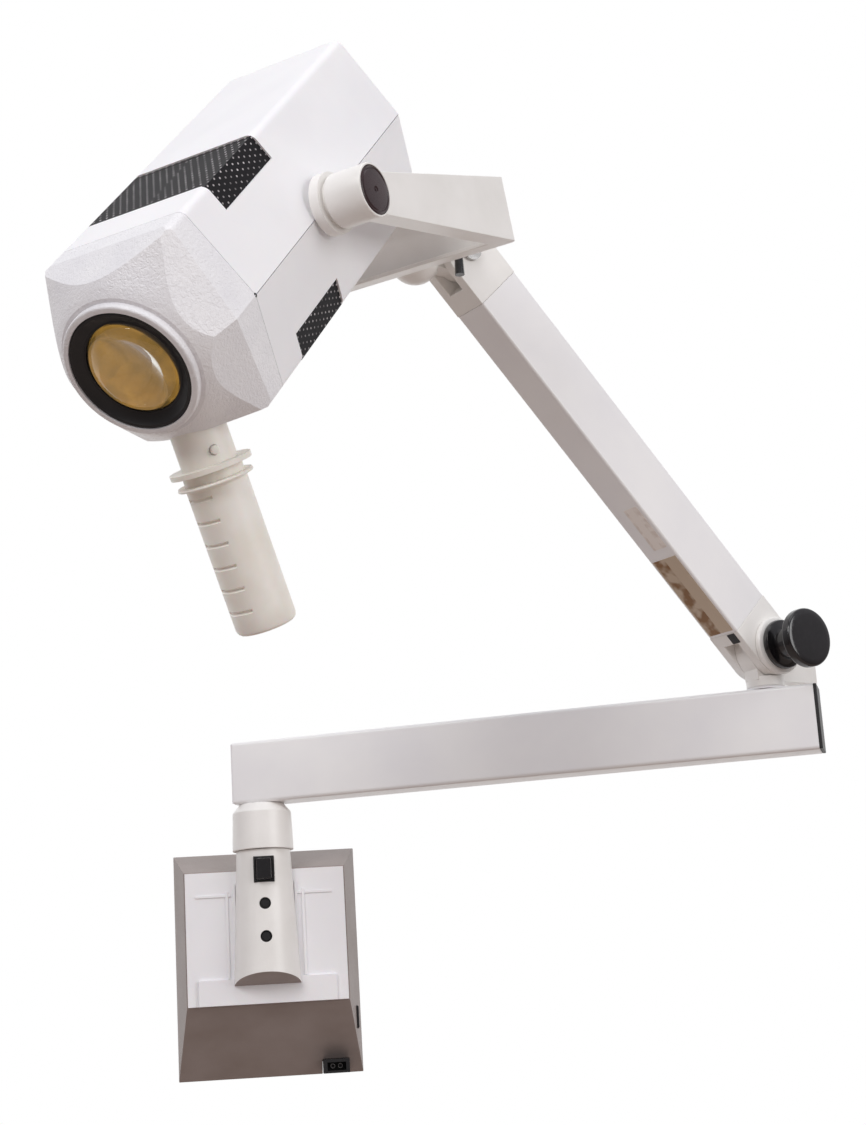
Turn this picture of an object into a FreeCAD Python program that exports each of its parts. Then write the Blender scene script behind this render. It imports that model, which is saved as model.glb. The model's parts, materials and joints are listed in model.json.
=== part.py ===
import FreeCAD, Part
import math
import os
import re
import Sketcher

# Wall mounted examination lamp: bracket, swing arm, boom, yoke and lamp head.
# Frame: origin in the middle of the wall plate's back, wall in the XZ plane,
# front towards -Y, +Z up. Lengths in millimetres, angles in degrees.

os.makedirs("parts", exist_ok=True)
doc = FreeCAD.newDocument("ExaminationLamp")
dim = doc.addObject("Spreadsheet::Sheet", "Dim")

driving = {
    "armSwing": 20.3, "boomTurn": 210.0, "boomRise": 45.6,
    "yokeTurn": 232.66, "yokeLean": 16.0, "headDip": 47.4, "handleLean": 18.5,
    "plateWide": 150.0, "plateTall": 182.0, "plateThick": 3.0,
    "boxDepth": 60.0, "faceWide": 129.0, "faceTop": 71.9, "faceBottom": -34.6,
    "skinThick": 2.0, "coverThick": 4.0, "stripTall": 20.0, "stripThick": 3.0,
    "columnReach": 65.0, "columnTop": 86.0, "columnBottom": -19.0,
    "columnUpperR": 21.6, "columnLowerR": 26.6,
    "spindleR": 7.0, "bushR": 8.6, "runFit": 0.05, "gapSide": 0.3, "bushDeep": 70.0,
    "pivotHeight": 148.7, "tubeTall": 50.0, "tubeThick": 31.0, "tubeWall": 2.0,
    "tubeInner": 19.5, "tubeOuter": 450.7, "elbowReach": 411.9, "elbowRise": 56.8,
    "collarR": 24.5, "collarNeckR": 17.5, "collarBevel": 7.0,
    "boomLength": 380.4, "boomTall": 44.0, "boomThick": 30.4, "boomWall": 1.6,
    "endRound": 22.0, "tongueThick": 14.0, "pinR": 5.0, "postRound": 21.8, "postBack": 49.0,
    "knobR": 22.5, "knobStemR": 13.0, "knobReach": 36.0, "washerR": 22.0,
    "hubReach": 38.0, "hubR": 15.8, "hubTop": 8.0, "hubDrop": 26.0, "studR": 6.0,
    "leverAt": 18.0,
    "yokeHalf": 93.0, "yokeBack": 24.0, "yokeLeg": 204.0, "yokeTall": 44.4,
    "yokeTip": 25.0, "yokeFlange": 15.0, "yokeWall": 2.5, "yokeMid": 1.2,
    "barrelR": 16.8, "barrelOut": 97.0, "capR": 15.4, "shaftR": 7.0, "flangeR": 19.2,
    "headWide": 91.3, "headTall": 119.6, "ridgeOut": 15.4, "headRear": 135.4,
    "headFront": 108.6, "shellWall": 2.5, "headCorner": 6.0,
    "foldCorner": 17.0, "foldRidge": 27.0, "facetSlope": 16.0, "tipReach": 48.5, "tipOut": 50.5,
    "cowlDeep": 56.4, "rimR": 41.5, "rimDeep": 5.0, "cowlWall": 3.0,
    "bezelR": 37.7, "bezelInR": 28.6, "lensR": 30.4, "lensDome": 12.0,
    "ventRear": 98.0, "ventFront": 31.0, "ventDrop": 18.0, "ventThick": 1.5,
    "reflectR": 30.0, "reflectDeep": 38.0,
    "smallLabelAt": 119.0, "smallLabel": 39.0, "largeLabelAt": 36.0, "largeLabel": 74.0,
    "stemR": 17.0, "stemLong": 30.0, "gripR": 18.7, "gripLong": 92.0, "gripFlangeR": 23.1,
    "latchTurn": 54.0,
}

for row, (alias, value) in enumerate(driving.items(), 1):
    dim.set("A" + str(row), alias)
    dim.set("B" + str(row), str(value))
    dim.setAlias("B" + str(row), alias)
doc.recompute()


def size(alias):
    return float(dim.get(alias))


def link(text):
    return re.sub(r"\b([a-z]+[A-Z]\w*)\b", r"Dim.\1", str(text))


def worth(text):
    return float(dim.evalExpression(link(text)))


def bind(thing, prop, text):
    thing.setExpression(prop, link(text))


def vec(x, y, z):
    return FreeCAD.Vector(x, y, z)


def turn(axis, angle):
    return FreeCAD.Placement(vec(0, 0, 0), FreeCAD.Rotation(axis, angle))


def shift(x, y, z):
    return FreeCAD.Placement(vec(worth(x), worth(y), worth(z)), FreeCAD.Rotation())


xAxis, yAxis, zAxis = vec(1, 0, 0), vec(0, 1, 0), vec(0, 0, 1)
zToY = turn(xAxis, -90)
zToX = turn(yAxis, 90)

# Frames of the moving bodies in the drawn position, each one hung on the one before.
ground = FreeCAD.Placement()
armFrame = shift(0, "-columnReach", "pivotHeight") * turn(zAxis, -size("armSwing"))
elbowSpot = armFrame.multVec(vec(size("elbowReach"), 0, 0))
elbowFrame = FreeCAD.Placement(elbowSpot, FreeCAD.Rotation(zAxis, size("boomTurn")))
postFrame = elbowFrame * shift(0, 0, "elbowRise")
boomFrame = postFrame * turn(yAxis, -size("boomRise"))
knuckleSpot = boomFrame.multVec(vec(size("boomLength"), 0, 0))
knuckleFrame = FreeCAD.Placement(knuckleSpot, FreeCAD.Rotation(zAxis, size("boomTurn")))
hubFrame = knuckleFrame * shift("hubReach", 0, 0)
yokeUpright = FreeCAD.Placement(hubFrame.Base, FreeCAD.Rotation(zAxis, size("yokeTurn")))
yokeFrame = yokeUpright * turn(yAxis, size("yokeLean"))
pivotSpot = yokeFrame.multVec(vec(size("yokeLeg"), 0, size("yokeMid")))
headFrame = (FreeCAD.Placement(pivotSpot, FreeCAD.Rotation(zAxis, size("yokeTurn")))
             * turn(yAxis, size("headDip")))
handleFrame = (headFrame * shift("headFront + 31", 0, "-headTall / 2 + 3")
               * turn(yAxis, 180 - size("handleLean")))
latchFrame = handleFrame * turn(zAxis, -size("latchTurn"))

nodes = []


def keep(thing, label, frame):
    thing.Label = label
    thing.Placement = frame
    nodes.append(thing)
    return thing


def originPlane(body, role):
    for part in body.Origin.OriginFeatures:
        if part.Role == role:
            return part


def drawLoop(sketch, loop):
    if loop[0] == "circle":
        _, across, up, radius = loop
        spot = vec(worth(across), worth(up), 0)
        geo = sketch.addGeometry(Part.Circle(spot, zAxis, worth(radius)), False)
        pinPoint(sketch, geo, 3, across, up)
        number = sketch.addConstraint(Sketcher.Constraint("Radius", geo, worth(radius)))
        bind(sketch, "Constraints[%d]" % number, radius)
        return
    spots = [vec(worth(across), worth(up), 0) for across, up in loop]
    first = sketch.GeometryCount
    for index, spot in enumerate(spots):
        sketch.addGeometry(Part.LineSegment(spot, spots[(index + 1) % len(spots)]), False)
    for index in range(len(spots)):
        following = first + (index + 1) % len(spots)
        sketch.addConstraint(Sketcher.Constraint("Coincident", first + index, 2, following, 1))
    for index, (across, up) in enumerate(loop):
        pinPoint(sketch, first + index, 1, across, up)


def pinPoint(sketch, geo, corner, across, up):
    for kind, text, axis in (("DistanceX", across, -2), ("DistanceY", up, -1)):
        if abs(worth(text)) < 1e-9:
            sketch.addConstraint(Sketcher.Constraint("PointOnObject", geo, corner, axis))
            continue
        number = sketch.addConstraint(
            Sketcher.Constraint(kind, -1, 1, geo, corner, worth(text)))
        bind(sketch, "Constraints[%d]" % number, text)


def drawSketch(body, role, loops, offset=0):
    sketch = body.newObject("Sketcher::SketchObject", "Outline")
    sketch.AttachmentSupport = [(originPlane(body, role), "")]
    sketch.MapMode = "FlatFace"
    if offset:
        bind(sketch, ".AttachmentOffset.Base.z", offset)
    for loop in loops:
        drawLoop(sketch, loop)
    return sketch


# A body turned about its own Z axis from a radius and height outline.
def turned(label, frame, outline):
    body = doc.addObject("PartDesign::Body", "Turned")
    sketch = drawSketch(body, "XZ_Plane", [outline])
    spin = body.newObject("PartDesign::Revolution", "Spin")
    spin.Profile = sketch
    spin.ReferenceAxis = (sketch, ["V_Axis"])
    spin.Angle = 360
    return keep(body, label, frame)


# A body padded along its own Z axis.
def padded(label, frame, loops, length, role="XY_Plane", offset=0):
    body = doc.addObject("PartDesign::Body", "Padded")
    pad = body.newObject("PartDesign::Pad", "Pad")
    pad.Profile = drawSketch(body, role, loops, offset)
    bind(pad, "Length", length)
    body.Tip = pad
    return keep(body, label, frame)


def pocket(body, role, loops, length, offset=0, backwards=False):
    cutter = drawSketch(body, role, loops, offset)
    hole = body.newObject("PartDesign::Pocket", "Pocket")
    hole.Profile = cutter
    bind(hole, "Length", length)
    hole.Reversed = backwards
    body.Tip = hole
    return hole


def rectangle(left, low, right, high):
    return [(left, low), (right, low), (right, high), (left, high)]


def roundEdges(body, chosen, radius, kind="PartDesign::Fillet"):
    doc.recompute()
    base = body.Tip
    names = ["Edge%d" % (index + 1) for index, edge in enumerate(base.Shape.Edges)
             if chosen(edge)]
    rounded = body.newObject(kind, "Rounded")
    rounded.Base = (base, names)
    bind(rounded, "Radius" if kind.endswith("Fillet") else "Size", radius)
    body.Tip = rounded


def along(axis):
    def chosen(edge):
        if edge.Curve.TypeId != "Part::GeomLine":
            return False
        return abs(edge.Curve.Direction.dot(axis)) > 0.999
    return chosen


# Solids for booleans, sized and placed by the sheet.
def place(thing, spot, way=None):
    rotation = way.Rotation if way else FreeCAD.Rotation()
    thing.Placement = FreeCAD.Placement(vec(0, 0, 0), rotation)
    for axis, text in zip("xyz", spot):
        bind(thing, ".Placement.Base." + axis, text)
    return thing


def block(spot, wide, deep, tall):
    thing = doc.addObject("Part::Box", "Block")
    for prop, text in (("Length", wide), ("Width", deep), ("Height", tall)):
        bind(thing, prop, text)
    return place(thing, spot)


def rod(spot, radius, length, way=None):
    thing = doc.addObject("Part::Cylinder", "Rod")
    bind(thing, "Radius", radius)
    bind(thing, "Height", length)
    return place(thing, spot, way)


def taper(spot, low, high, length, way=None):
    thing = doc.addObject("Part::Cone", "Taper")
    for prop, text in (("Radius1", low), ("Radius2", high), ("Height", length)):
        bind(thing, prop, text)
    return place(thing, spot, way)


def ball(spot, radius):
    thing = doc.addObject("Part::Sphere", "Ball")
    bind(thing, "Radius", radius)
    return place(thing, spot)


def merged(parts):
    thing = doc.addObject("Part::MultiFuse", "Merged")
    thing.Shapes = parts
    return thing


def carved(base, tools):
    thing = doc.addObject("Part::Cut", "Carved")
    thing.Base = base
    thing.Tool = tools[0] if len(tools) == 1 else merged(tools)
    return thing


def shared(first, second):
    thing = doc.addObject("Part::Common", "Shared")
    thing.Base = first
    thing.Tool = second
    return thing


def plain(label, frame, shape):
    thing = doc.addObject("Part::Feature", "Shaped")
    thing.Shape = shape
    return keep(thing, label, frame)


# --- wall bracket ---------------------------------------------------------

def wallRect(wide, low, high, depth):
    half = worth(wide) / 2
    low, high, depth = worth(low), worth(high), -worth(depth)
    corners = [vec(-half, depth, low), vec(half, depth, low),
               vec(half, depth, high), vec(-half, depth, high)]
    return Part.makePolygon(corners + corners[:1])


def columnSolid(spare=0):
    text = "%s + " + str(spare)
    return taper(("0", "-columnReach", "columnBottom"), text % "columnLowerR",
                 text % "columnUpperR", "columnTop - columnBottom")


def wallPlate():
    body = padded("wall_plate", ground, [
        rectangle("-plateWide / 2 + 6", "-plateTall / 2 + 10",
                  "plateWide / 2 - 6", "plateTall / 2 - 10")],
        "plateThick", "XZ_Plane")
    spots = [("circle", sideX, sideZ, "2.75") for sideX in ("-50", "50") for sideZ in ("-70", "70")]
    pocket(body, "XZ_Plane", spots, "plateThick * 4", "-plateThick * 2", True)
    return body


def bracketHousing():
    outer = Part.makeLoft([wallRect("plateWide", "-plateTall / 2", "plateTall / 2", "0"),
                           wallRect("faceWide", "faceBottom", "faceTop", "boxDepth")],
                          True, True)
    inner = Part.makeLoft([wallRect("plateWide - 4 * skinThick", "-plateTall / 2 + 2 * skinThick",
                                    "plateTall / 2 - 2 * skinThick", "-1"),
                           wallRect("faceWide - 3 * skinThick", "faceBottom + 2 * skinThick",
                                    "faceTop - 1.5 * skinThick", "boxDepth + 1")], True, True)
    column = Part.makeCone(size("columnLowerR") + 0.2, size("columnUpperR") + 0.2,
                           worth("columnTop - columnBottom"),
                           vec(0, -size("columnReach"), size("columnBottom")), zAxis)
    inlet = Part.makeBox(21.6, 30, 12.8, vec(41.7, -30, -worth("plateTall / 2") - 1))
    side = Part.makeBox(20, 12, 18, vec(worth("plateWide / 2") - 16, -26, -56.5))
    return plain("bracket_housing", ground, outer.cut([inner, column, inlet, side]))


def bracketCover():
    plate = block(("-faceWide / 2 + 1", "-boxDepth - coverThick", "faceBottom + 1"),
                  "faceWide - 2", "coverThick", "faceTop - faceBottom - 2")
    strip = block(("-faceWide / 2 + 10", "-boxDepth - coverThick - stripThick", "faceBottom + 1"),
                  "faceWide - 20", "stripThick", "stripTall")
    ribs = []
    for side in ("-1", "1"):
        for reach, tall in (("30.5", "68"), ("24.7", "74")):
            spot = (side + " * " + reach + " - 1", "-boxDepth - coverThick - 1.6", "columnBottom + 6")
            ribs.append(block(spot, "2", "1.6", tall))
    steps = [block((left, "-boxDepth - coverThick - 1", "51"), "28", "1", "2")
             for left in ("-55.5", "25.5")]
    whole = merged([plate, strip] + ribs + steps)
    return keep(carved(whole, [columnSolid()]), "bracket_cover", ground)


def socketColumn():
    behind = block(("-60", "-boxDepth + 6", "columnBottom - 1"), "120", "80",
                   "faceTop - columnBottom + 40")
    bore = rod(("0", "-columnReach", "columnTop - bushDeep"), "bushR", "bushDeep + 1")
    slot = block(("-8.2", "-columnReach - 40", "59.6"), "16.4", "27.6", "20.4")
    upper = rod(("0", "-columnReach - 12", "43"), "4.6", "20", turn(xAxis, 90))
    lower = rod(("0", "-columnReach - 12", "17.3"), "4.6", "20", turn(xAxis, 90))
    undercut = doc.addObject("Part::Box", "Block")
    undercut.Length, undercut.Width, undercut.Height = 120, 120, 60
    place(undercut, ("-60", "-columnReach - 113.85", "columnBottom - 21.74"), turn(xAxis, -20.97))
    solid = carved(columnSolid(), [behind, bore, slot, upper, lower, undercut])
    return keep(solid, "socket_column", ground)


def switchFrame():
    body = padded("switch_frame", ground, [
        rectangle("-8.2", "59.6", "8.2", "80"), rectangle("-6.2", "61.6", "6.2", "78")],
        "10.4", "XZ_Plane", "columnReach + 12.5")
    return body


def rockerSwitch():
    frame = shift(0, "-columnReach - 23", 69.8) * turn(yAxis, 90)
    return padded("rocker_switch", frame, [[
        ("-8", "-6"), ("-8", "1"), ("-7.6", "2.4"), ("0", "0.4"), ("7.6", "-1"), ("8", "-2"),
        ("8", "-6")]], "11.6", "XY_Plane", "-5.8")


def fuseHolders():
    rods = []
    for height in ("43", "17.3"):
        tube = rod(("0", "-columnReach - 12.1", height), "4.5", "10", turn(xAxis, 90))
        core = rod(("0", "-columnReach - 10", height), "3.2", "14", turn(xAxis, 90))
        rods.append(carved(tube, [core]))
    return keep(merged(rods), "fuse_holders", ground)


def fuseCap(label, height, face):
    frame = shift(0, "-columnReach", height) * turn(xAxis, 90)
    return turned(label, frame, [("0", "13"), ("3", "13"), ("3", "22.4"), ("3.6", "22.4"),
                                 ("3.6", face), ("2.8", face + " + 1"), ("0", face + " + 1")])


def cordInlet():
    shellBody = block(("42", "-29", "-plateTall / 2 + 0.5"), "21", "26", "11")
    hollow = block(("45", "-30", "-plateTall / 2 + 2.5"), "15", "18", "6.5")
    pins = [rod((across, "-11.5", "-plateTall / 2 + 6"), "1.6", "10", turn(xAxis, 90))
            for across in ("49.5", "55.5")]
    return keep(merged([carved(shellBody, [hollow])] + pins), "cord_inlet", ground)


def sideGrommet():
    body = block(("plateWide / 2 - 15.5", "-25.8", "-56.3"), "13", "11.6", "17.6")
    return keep(body, "side_grommet", ground)


def transformer():
    core = block(("-36", "-44", "-40"), "72", "40", "56")
    coil = block(("-26", "-50", "-32"), "52", "46", "40")
    return keep(merged([core, coil]), "transformer", ground)


def swingBush():
    frame = shift(0, "-columnReach", "columnTop - bushDeep")
    return turned("swing_bush", frame, [
        ("spindleR + runFit", "0"), ("bushR", "0"), ("bushR", "bushDeep"),
        ("spindleR + runFit", "bushDeep")])


# --- swing arm ------------------------------------------------------------

def swingSpindle():
    return turned("swing_spindle", armFrame, [
        ("0", "-tubeTall / 2 + tubeWall + 6"), ("12.5", "-tubeTall / 2 + tubeWall + 6"),
        ("12.5", "-tubeTall / 2 + tubeWall"), ("spindleR", "-tubeTall / 2 + tubeWall"),
        ("spindleR", "columnTop - pivotHeight - bushDeep + 4"),
        ("0", "columnTop - pivotHeight - bushDeep + 4")])


def swingCollar():
    body = turned("swing_collar", armFrame, [
        ("spindleR", "-tubeTall / 2"), ("collarNeckR", "-tubeTall / 2"),
        ("collarR - 1", "-tubeTall / 2 - collarBevel"),
        ("collarR", "columnTop - pivotHeight + gapSide"),
        ("spindleR", "columnTop - pivotHeight + gapSide")])
    return body


def extensionTube():
    body = padded("extension_tube", armFrame * zToX, [
        rectangle("-tubeTall / 2", "-tubeThick / 2", "tubeTall / 2", "tubeThick / 2")],
        "tubeOuter + tubeInner - 4.1", "XY_Plane", "1.5 - tubeInner")
    roundEdges(body, along(zAxis), "3")
    pocket(body, "XY_Plane", [
        rectangle("-tubeTall / 2 + tubeWall", "-tubeThick / 2 + tubeWall",
                  "tubeTall / 2 - tubeWall", "tubeThick / 2 - tubeWall")],
        "tubeOuter * 2", "-tubeInner - 1", True)
    pocket(body, "YZ_Plane", [("circle", "0", "0", "spindleR")], "tubeTall", "0.1", True)
    pocket(body, "YZ_Plane", [("circle", "0", "elbowReach", "13")], "tubeTall", "0.1", False)
    return body


def innerEndCap():
    plug = block(("1.5 - tubeInner", "-tubeThick / 2 + tubeWall", "-tubeTall / 2 + tubeWall"),
                 "3", "tubeThick - 2 * tubeWall", "tubeTall - 2 * tubeWall")
    face = block(("-tubeInner", "-tubeThick / 2 + 0.8", "-tubeTall / 2 + 0.8"),
                 "1.5", "tubeThick - 1.6", "tubeTall - 1.6")
    return keep(merged([plug, face]), "inner_end_cap", armFrame)


def outerEndCap():
    plug = block(("tubeOuter - 12.6", "-tubeThick / 2 + tubeWall", "-tubeTall / 2 + tubeWall"),
                 "10", "tubeThick - 2 * tubeWall", "tubeTall - 2 * tubeWall")
    face = block(("tubeOuter - 2.6", "-tubeThick / 2 + 0.3", "-tubeTall / 2 + 0.3"),
                 "2.6", "tubeThick - 0.6", "tubeTall - 0.6")
    return keep(merged([plug, face]), "outer_end_cap", armFrame)


def elbowBush():
    frame = elbowFrame * shift(0, 0, "-tubeTall / 2 + tubeWall")
    return turned("elbow_bush", frame, [
        ("10 + runFit", "1"), ("13", "1"), ("13", "tubeTall - tubeWall"),
        ("15.5", "tubeTall - tubeWall"), ("15.5", "tubeTall - tubeWall + 1.2"),
        ("10 + runFit", "tubeTall - tubeWall + 1.2")])


# --- elbow ----------------------------------------------------------------

def elbowSpindle():
    return turned("elbow_spindle", elbowFrame, [
        ("0", "-tubeTall / 2 + tubeWall + 3"), ("10", "-tubeTall / 2 + tubeWall + 3"),
        ("10", "tubeTall / 2 + 1.5"), ("13.5", "tubeTall / 2 + 1.5"),
        ("14.5", "tubeTall / 2 + 2.5"), ("14.5", "tubeTall / 2 + 7"), ("0", "tubeTall / 2 + 7")])


def elbowPost():
    way = turn(xAxis, -90)
    low = "tubeTall / 2 + 7 - elbowRise"
    base = rod(("0", "0", low), "14.5", "2.4")
    eye = rod(("0", "-tongueThick / 2", "0"), "postRound", "tongueThick", way)
    web = block(("-postBack", "-tongueThick / 2", low), "postBack + 14",
                "tongueThick", "-(%s)" % low)
    heel = rod(("-postBack + postRound", "-tongueThick / 2", "0"), "postRound", "tongueThick", way)
    bridge = block(("-postBack + postRound", "-tongueThick / 2", "0"), "postBack - postRound",
                   "tongueThick", "postRound")
    bore = rod(("0", "-tongueThick", "0"), "pinR", "tongueThick * 2", way)
    skirt = block(("-60", "-60", low + " - 30"), "120", "120", "30")
    solid = carved(merged([base, eye, web, heel, bridge]), [bore, skirt])
    return keep(solid, "elbow_post", postFrame)


def elbowPin():
    frame = postFrame * zToY
    return turned("elbow_pin", frame, [
        ("0", "-boomThick / 2 - 4"), ("8", "-boomThick / 2 - 4"), ("8", "-boomThick / 2 - 0.6"),
        ("pinR", "-boomThick / 2 - 0.6"), ("pinR", "boomThick / 2 + 8"), ("0", "boomThick / 2 + 8")])


# --- boom -----------------------------------------------------------------

def boomTube():
    body = padded("boom_tube", boomFrame * zToX, [
        rectangle("-boomTall / 2", "-boomThick / 2", "boomTall / 2", "boomThick / 2")],
        "boomLength - 2 * endRound - 24", "XY_Plane", "endRound + 12")
    roundEdges(body, along(zAxis), "2")
    pocket(body, "XY_Plane", [
        rectangle("-boomTall / 2 + boomWall", "-boomThick / 2 + boomWall",
                  "boomTall / 2 - boomWall", "boomThick / 2 - boomWall")],
        "boomLength", "-1", True)
    return body


# Rounded clevis casting plugged into one end of the boom tube.
def boomEnd(label, frame, eye):
    cheek = rod(("0", "-boomThick / 2", "0"), "endRound", "boomThick", turn(xAxis, -90))
    body = block(("0", "-boomThick / 2", "-endRound"), "endRound + 12", "boomThick", "endRound * 2")
    plug = block(("endRound + 12", "-boomThick / 2 + boomWall", "-boomTall / 2 + boomWall"),
                 "14", "boomThick - 2 * boomWall", "boomTall - 2 * boomWall")
    slot = block(("-endRound - 1", "-tongueThick / 2 - gapSide", "-endRound - 1"),
                 "endRound + %s + 2.5" % eye, "tongueThick + 2 * gapSide", "endRound * 2 + 2")
    bore = rod(("0", "-boomThick", "0"), "pinR + runFit", "boomThick * 2", turn(xAxis, -90))
    hollow = rod(("endRound + 8", "0", "0"), "9", "40", zToX)
    return keep(carved(merged([cheek, body, plug]), [slot, bore, hollow]), label, frame)


def balanceSpring():
    pitch, turns, radius = 9.0, 24, 7.0
    helix = Part.makeHelix(pitch, pitch * turns, radius)
    section = Part.Wire([Part.Circle(vec(radius, 0, 0), yAxis, 1.4).toShape()])
    coil = Part.Wire(helix.Edges).makePipeShell([section], True, True)
    frame = boomFrame * shift("endRound + 40", 0, 0) * zToX
    return plain("balance_spring", frame, coil)


def springRod():
    frame = boomFrame * shift("endRound + 30", 0, 0) * zToX
    return turned("spring_rod", frame, [
        ("0", "0"), ("8.5", "0"), ("8.5", "6"), ("3", "6"), ("3", "232"), ("8.5", "232"),
        ("8.5", "238"), ("0", "238")])


# A thin blank plate on the boom, lying in the XZ plane of its own frame.
def label(name, frame, length, tall):
    return padded(name, frame, [
        rectangle("0", "-%s / 2" % tall, length, "%s / 2" % tall)], "0.3")


def labels():
    side = boomFrame * shift("smallLabelAt", "boomThick / 2", -12) * turn(xAxis, -90)
    label("label_small", side, "smallLabel", "12")
    under = boomFrame * shift("largeLabelAt", 0, "-boomTall / 2 - 0.3")
    label("label_large", under, "largeLabel", "25")


def knobWasher():
    frame = postFrame * zToY
    return turned("knob_washer", frame, [
        ("pinR", "boomThick / 2 + gapSide"), ("washerR", "boomThick / 2 + gapSide"),
        ("washerR", "boomThick / 2 + 3.5"), ("washerR - 1.5", "boomThick / 2 + 5"),
        ("pinR", "boomThick / 2 + 5")])


def tensionKnob():
    frame = postFrame * zToY * shift(0, 0, "boomThick / 2")
    return turned("tension_knob", frame, [
        ("pinR + runFit", "5.3"), ("19", "5.3"), ("19", "9"), ("17.5", "10.5"),
        ("knobStemR", "12"), ("knobStemR", "knobReach - 9"), ("knobR - 2.5", "knobReach - 8"),
        ("knobR", "knobReach - 6"), ("knobR", "knobReach - 2"), ("knobR - 2", "knobReach - 0.4"),
        ("knobR / 2", "knobReach"), ("0", "knobReach + 0.2"), ("0", "9"), ("pinR + runFit", "9")])


# --- knuckle and yoke -----------------------------------------------------

def knuckleHub():
    hub = rod(("hubReach", "0", "-hubDrop + 8"), "hubR", "hubTop + hubDrop - 8")
    dome = shared(ball(("hubReach", "0", "-hubDrop + 17.5"), "hubR + 2.6"),
                  rod(("hubReach", "0", "-hubDrop - 4"), "hubR", "14"))
    tongue = block(("0", "-tongueThick / 2", "-14"), "hubReach", "tongueThick", "20")
    eye = rod(("0", "-tongueThick / 2", "0"), "endRound - 6", "tongueThick", turn(xAxis, -90))
    bore = rod(("0", "-tongueThick", "0"), "pinR", "tongueThick * 2", turn(xAxis, -90))
    stud = rod(("hubReach", "0", "-12"), "studR", "40")
    ear = block(("leverAt - 8", "boomThick / 2 + gapSide", "-8"), "hubReach - leverAt + 8", "4.2", "14")
    root = block(("endRound + 2", "0", "-8"), "hubReach - endRound - 2", "boomThick / 2 + 4", "14")
    pivot = rod(("leverAt", "boomThick / 2 + 3", "0"), "3.2", "10.3", turn(xAxis, -90))
    whole = merged([hub, dome, tongue, eye, ear, root, pivot])
    return keep(carved(whole, [bore, stud]), "knuckle_hub", knuckleFrame)


def knucklePin():
    return turned("knuckle_pin", knuckleFrame * zToY, [
        ("0", "-boomThick / 2 - 3.5"), ("8", "-boomThick / 2 - 3.5"), ("8", "-boomThick / 2 - 0.5"),
        ("pinR", "-boomThick / 2 - 0.5"), ("pinR", "boomThick / 2 + 0.5"),
        ("8", "boomThick / 2 + 0.5"), ("8", "boomThick / 2 + 3"), ("0", "boomThick / 2 + 3")])


def swivelStud():
    return turned("swivel_stud", hubFrame, [
        ("0", "-12"), ("studR", "-12"), ("studR", "hubTop + 24"), ("10", "hubTop + 24"),
        ("10", "hubTop + 29"), ("0", "hubTop + 29")])


def clampLever():
    way = turn(xAxis, -90)
    hub = rod(("leverAt", "boomThick / 2 + 4.8", "0"), "8", "10", way)
    wing = block(("leverAt - 9.5", "boomThick / 2 + 6.5", "-3.5"), "19", "7", "7")
    stem = taper(("leverAt", "boomThick / 2 + 10", "-26"), "3.4", "2.6", "22")
    bore = rod(("leverAt", "0", "0"), "3.2 + runFit", "boomThick / 2 + 13.6", way)
    return keep(carved(merged([hub, wing, stem]), [bore]), "clamp_lever", knuckleFrame)


# Outline of a yoke leg or crossbar web seen across the yoke.
def legFace(grow, start, finish):
    low, tip = worth("yokeTall / 2") + grow, worth("yokeTip / 2") + grow
    mid = size("yokeMid")
    back, leg = size("yokeBack"), size("yokeLeg")
    corners = []
    for reach, sign in ((start, -1), (finish, -1), (finish, 1), (start, 1)):
        share = (reach - back) / (leg - back)
        corners.append(vec(reach, 0, mid + sign * (low + (tip - low) * share)))
    return Part.Face(Part.makePolygon(corners + corners[:1]))


def yokeFrameNode():
    half, back, leg = size("yokeHalf"), size("yokeBack"), size("yokeLeg")
    wall, flange = size("yokeWall"), size("yokeFlange")
    outer = legFace(0, back, leg).extrude(vec(0, 2 * half, 0))
    outer.translate(vec(0, -half, 0))
    inner = legFace(-wall, back + wall, leg + 40).extrude(vec(0, 2 * (half - wall), 0))
    inner.translate(vec(0, -half + wall, 0))
    gap = Part.makeBox(leg, 2 * (half - flange), 200, vec(back + flange, -half + flange, -100))
    frame = outer.cut([inner, gap])
    frame = frame.makeFillet(5, [edge for edge in frame.Edges if cornerEdge(edge, half, back)])
    ends = [Part.makeCylinder(worth("yokeTip / 2"), wall + 4,
                              vec(leg, side * half, size("yokeMid")), vec(0, -side, 0))
            for side in (-1, 1)]
    frame = frame.fuse(ends)
    for side in (-1, 1):
        frame = frame.cut(Part.makeCylinder(size("barrelR"), 40,
                                            vec(leg, side * (half - 20), size("yokeMid")),
                                            vec(0, side, 0)))
    return plain("yoke_frame", yokeFrame, frame.removeSplitter())


def cornerEdge(edge, half, back):
    box = edge.BoundBox
    return (abs(abs(box.Center.y) - half) < 0.01 and abs(box.Center.x - back) < 0.01
            and box.ZLength > 20)


def yokeBoss():
    eye = rod(("0", "0", "hubTop + gapSide"), "hubR", "22")
    arm = block(("0", "-hubR", "hubTop + gapSide"), "yokeBack + 12", "hubR * 2", "14")
    bore = rod(("0", "0", "0"), "studR + 2", "60")
    edge = legFace(0, size("yokeBack"), size("yokeLeg")).extrude(vec(0, 200, 0))
    tool = doc.addObject("Part::Feature", "YokeEdge")
    tool.Shape = edge
    tool.Placement = turn(yAxis, size("yokeLean")) * shift(0, -100, 0)
    return keep(carved(merged([eye, arm]), [bore, tool]), "yoke_boss", yokeUpright)


def swivelBush():
    return turned("swivel_bush", yokeUpright, [
        ("studR + runFit", "hubTop + gapSide"), ("studR + 2", "hubTop + gapSide"),
        ("studR + 2", "hubTop + 22.3"), ("9", "hubTop + 22.3"), ("9", "hubTop + 23.5"),
        ("studR + runFit", "hubTop + 23.5")])


def pivotFrame(side):
    return (yokeFrame * shift("yokeLeg", 0, "yokeMid")
            * turn(xAxis, -90 if side > 0 else 90))


def sideName(side):
    return "right" if side > 0 else "left"


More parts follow.
